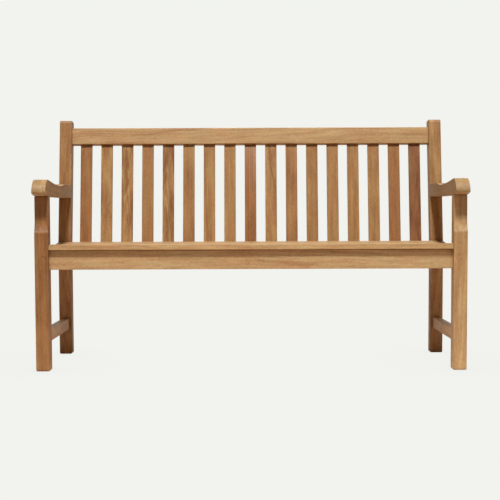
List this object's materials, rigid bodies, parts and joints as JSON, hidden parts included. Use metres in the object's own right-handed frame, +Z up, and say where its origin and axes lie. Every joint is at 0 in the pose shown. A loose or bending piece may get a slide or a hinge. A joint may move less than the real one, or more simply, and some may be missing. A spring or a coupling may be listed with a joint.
{
  "type": "garden bench",
  "caption": "Slatted teak garden bench: raked back of upright slats, scooped arms with rounded noses, dished slatted seat, square legs with side stretchers.",
  "frame": {"origin": "on the ground, under the centre of the bounding box", "axes": "+X to the viewer's right along the bench, -Y to the front, +Z up"},
  "size_m": [1.5, 0.6181, 0.914],
  "materials": {
    "teak_straw": "oiled, satin-matte",
    "teak_golden": "oiled, satin-matte",
    "teak_honey": "oiled, satin-matte",
    "teak_amber": "oiled, satin-matte",
    "teak_russet": "oiled, satin-matte",
    "teak_chestnut": "oiled, satin-matte",
    "teak_umber": "oiled, satin-matte"
  },
  "bodies": {
    "root": {"front_leg_left": "teak_chestnut", "front_leg_right": "teak_golden", "rear_post_left": "teak_russet", "rear_post_right": "teak_honey", "arm_left": "teak_straw", "arm_right": "teak_straw", "side_rail_left": "teak_amber", "side_rail_right": "teak_amber", "side_stretcher_left": "teak_golden", "side_stretcher_right": "teak_golden", "front_rail": "teak_golden", "lower_back_rail": "teak_golden", "top_rail": "teak_golden", "centre_bearer": "teak_amber", "back_slat_01": "teak_russet", "back_slat_02": "teak_honey", "back_slat_03": "teak_honey", "back_slat_04": "teak_amber", "back_slat_05": "teak_amber", "back_slat_06": "teak_amber", "back_slat_07": "teak_honey", "back_slat_08": "teak_honey", "back_slat_09": "teak_russet", "back_slat_10": "teak_honey", "back_slat_11": "teak_amber", "back_slat_12": "teak_amber", "back_slat_13": "teak_honey", "back_slat_14": "teak_honey", "back_slat_15": "teak_honey", "back_slat_16": "teak_russet", "back_slat_17": "teak_umber", "seat_slat_1": "teak_golden", "seat_slat_2": "teak_golden", "seat_slat_3": "teak_golden", "seat_slat_4": "teak_golden", "seat_slat_5": "teak_golden", "seat_slat_6": "teak_golden", "side_rail_peg_front_left": "teak_umber", "side_rail_peg_front_right": "teak_umber", "side_rail_peg_rear_left": "teak_umber", "side_rail_peg_rear_right": "teak_umber", "stretcher_peg_front_left": "teak_umber", "stretcher_peg_front_right": "teak_umber", "stretcher_peg_rear_left": "teak_umber", "stretcher_peg_rear_right": "teak_umber", "arm_peg_front_left": "teak_umber", "arm_peg_front_right": "teak_umber", "arm_peg_rear_left": "teak_umber", "arm_peg_rear_right": "teak_umber", "front_rail_peg_left": "teak_umber", "front_rail_peg_right": "teak_umber", "low_back_rail_peg_left": "teak_umber", "low_back_rail_peg_right": "teak_umber", "top_rail_peg_left": "teak_umber", "top_rail_peg_right": "teak_umber"}
  },
  "joints": []
}
